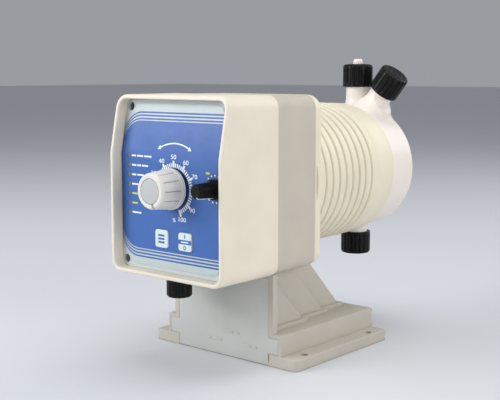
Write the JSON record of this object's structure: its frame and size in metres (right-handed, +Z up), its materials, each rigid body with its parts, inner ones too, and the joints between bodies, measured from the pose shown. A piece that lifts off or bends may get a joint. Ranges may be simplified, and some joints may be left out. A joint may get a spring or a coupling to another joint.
{
  "type": "diaphragm metering pump",
  "caption": "Foot-mounted solenoid diaphragm dosing pump with a boxed control panel, ribbed motor barrel, stroke dial and a white pump head with capped hose ports.",
  "frame": {"origin": "middle of the foot's underside, which is the centre of its four bolt holes", "axes": "+Z up, control panel faces -Y, pump head at +Y, bleed port leans to +X"},
  "size_m": [0.138, 0.2563, 0.2175],
  "materials": {
    "cover_plastic": "satin",
    "housing_plastic": "satin",
    "barrel_plastic": "satin",
    "foot_plastic": "matte",
    "plate_plastic": "matte",
    "fascia_plastic": "satin",
    "overlay_film": "satin film",
    "key_plastic": "satin",
    "dial_plastic": "satin",
    "dial_cap_plastic": "satin",
    "black_plastic": "satin",
    "head_plastic": "semi-gloss",
    "steel": "brushed",
    "zinc_steel": "zinc plated",
    "copper_wire": "enamelled",
    "brass_metal": "turned",
    "board_green": "solder mask",
    "led_lens": "clear tinted",
    "white_plastic": "satin",
    "seal_rubber": "matte",
    "diaphragm_rubber": "smooth coating",
    "ceramic": "polished"
  },
  "bodies": {
    "pump_body": {"backing_plate": "white_plastic", "board_screws": "steel", "coil_bobbin": "white_plastic", "coil_winding": "copper_wire", "control_board": "board_green", "cover_screws": "steel", "dial_bush": "white_plastic", "diaphragm": "diaphragm_rubber", "fascia_panel": "fascia_plastic", "foot_front_plate": "plate_plastic", "foot_pedestal": "foot_plastic", "foot_screws": "steel", "front_cover": "cover_plastic", "gland_body": "black_plastic", "gland_cap": "black_plastic", "gland_lock_nut": "black_plastic", "gland_seal": "seal_rubber", "head_screws": "steel", "hose_nipples": "head_plastic", "housing_gasket": "seal_rubber", "housing_screws": "steel", "indicator_leds": "led_lens", "key_switches": "black_plastic", "mid_housing": "housing_plastic", "motor_housing": "barrel_plastic", "panel_overlay": "overlay_film", "pole_piece": "zinc_steel", "port_seals": "seal_rubber", "power_board": "board_green", "pump_head": "head_plastic", "selector_switch": "black_plastic", "solenoid_back_plate": "zinc_steel", "solenoid_can": "zinc_steel", "solenoid_mount": "zinc_steel", "stroke_guide": "white_plastic", "terminal_block": "white_plastic", "valve_cartridges": "white_plastic"},
    "dial_collar": {"dial_collar": "white_plastic", "dial_spring": "steel"},
    "dial": {"dial_knob": "dial_plastic", "dial_cap": "dial_cap_plastic", "dial_shaft": "steel"},
    "drive_sleeve": {"drive_sleeve": "brass_metal"},
    "stroke_stop": {"stroke_stop": "brass_metal"},
    "selector": {"selector_knob": "black_plastic", "selector_shaft": "steel"},
    "menu_key": {"menu_key": "key_plastic"},
    "power_key": {"power_key": "key_plastic"},
    "armature": {"armature": "zinc_steel", "push_rod": "steel", "diaphragm_core": "steel", "return_spring": "steel"},
    "discharge_ball": {"discharge_ball": "ceramic"},
    "suction_ball": {"suction_ball": "ceramic"},
    "bleed_needle": {"bleed_needle": "white_plastic"},
    "bleed_knob": {"bleed_knob": "black_plastic"},
    "discharge_clamp_ring": {"discharge_clamp_ring": "white_plastic"},
    "discharge_nut": {"discharge_nut": "black_plastic"},
    "suction_clamp_ring": {"suction_clamp_ring": "white_plastic"},
    "suction_nut": {"suction_nut": "black_plastic"}
  },
  "joints": [
    {"name": "dial_push", "type": "slide", "parent": "pump_body", "child": "dial_collar", "axis": [0, 1, 0], "range_m": [0, 0.002], "stiffness_N_per_m": 900, "springref_m": -0.0012, "deforming": ["dial_spring"]},
    {"name": "dial_turn", "type": "hinge", "parent": "dial_collar", "child": "dial", "pos_m": [0.002, -0.12, 0.128], "axis": [0, 1, 0], "range_deg": [-320, 0]},
    {"name": "sleeve_turn", "type": "hinge", "parent": "pump_body", "child": "drive_sleeve", "pos_m": [0.002, -0.05, 0.128], "axis": [0, 1, 0], "range_deg": [-320, 0]},
    {"name": "stop_travel", "type": "slide", "parent": "pump_body", "child": "stroke_stop", "axis": [0, 1, 0], "range_m": [0, 0.00125]},
    {"name": "selector_turn", "type": "hinge", "parent": "pump_body", "child": "selector", "pos_m": [0.0404, -0.115, 0.1304], "axis": [0, 1, 0], "range_deg": [0, 280]},
    {"name": "menu_key_press", "type": "slide", "parent": "pump_body", "child": "menu_key", "axis": [0, 1, 0], "range_m": [0, 0.0008], "stiffness_N_per_m": 900, "springref_m": -0.0006},
    {"name": "power_key_press", "type": "slide", "parent": "pump_body", "child": "power_key", "axis": [0, 1, 0], "range_m": [0, 0.0008], "stiffness_N_per_m": 900, "springref_m": -0.0006},
    {"name": "armature_stroke", "type": "slide", "parent": "pump_body", "child": "armature", "axis": [0, 1, 0], "range_m": [0, 0.00125], "stiffness_N_per_m": 4000, "springref_m": -0.003, "deforming": ["return_spring", "diaphragm"]},
    {"name": "discharge_ball_lift", "type": "slide", "parent": "pump_body", "child": "discharge_ball", "axis": [0, 0, 1], "range_m": [0, 0.0015]},
    {"name": "suction_ball_lift", "type": "slide", "parent": "pump_body", "child": "suction_ball", "axis": [0, 0, 1], "range_m": [0, 0.0015]},
    {"name": "bleed_lift", "type": "slide", "parent": "pump_body", "child": "bleed_needle", "axis": [0.6184, 0, 0.7859], "range_m": [0, 0.00225]},
    {"name": "bleed_turn", "type": "hinge", "parent": "bleed_needle", "child": "bleed_knob", "pos_m": [0.03104, 0.1135, 0.19775], "axis": [0.6184, 0, 0.7859], "range_deg": [0, 540]},
    {"name": "discharge_ring_lift", "type": "slide", "parent": "pump_body", "child": "discharge_clamp_ring", "axis": [0, 0, 1], "range_m": [0, 0.005]},
    {"name": "discharge_nut_turn", "type": "hinge", "parent": "discharge_clamp_ring", "child": "discharge_nut", "pos_m": [0, 0.1135, 0.2], "axis": [0, 0, 1], "range_deg": [0, 720]},
    {"name": "suction_ring_drop", "type": "slide", "parent": "pump_body", "child": "suction_clamp_ring", "axis": [0, 0, -1], "range_m": [0, 0.005]},
    {"name": "suction_nut_turn", "type": "hinge", "parent": "suction_clamp_ring", "child": "suction_nut", "pos_m": [0, 0.1135, 0.063], "axis": [0, 0, -1], "range_deg": [0, 720]}
  ],
  "couplings": [
    {"joint": "dial_turn", "follows": "stop_travel", "rad_per_m": -4468},
    {"joint": "sleeve_turn", "follows": "stop_travel", "rad_per_m": -4468},
    {"joint": "bleed_turn", "follows": "bleed_lift", "rad_per_m": 4188.8},
    {"joint": "discharge_nut_turn", "follows": "discharge_ring_lift", "rad_per_m": 2513.3},
    {"joint": "suction_nut_turn", "follows": "suction_ring_drop", "rad_per_m": 2513.3}
  ]
}
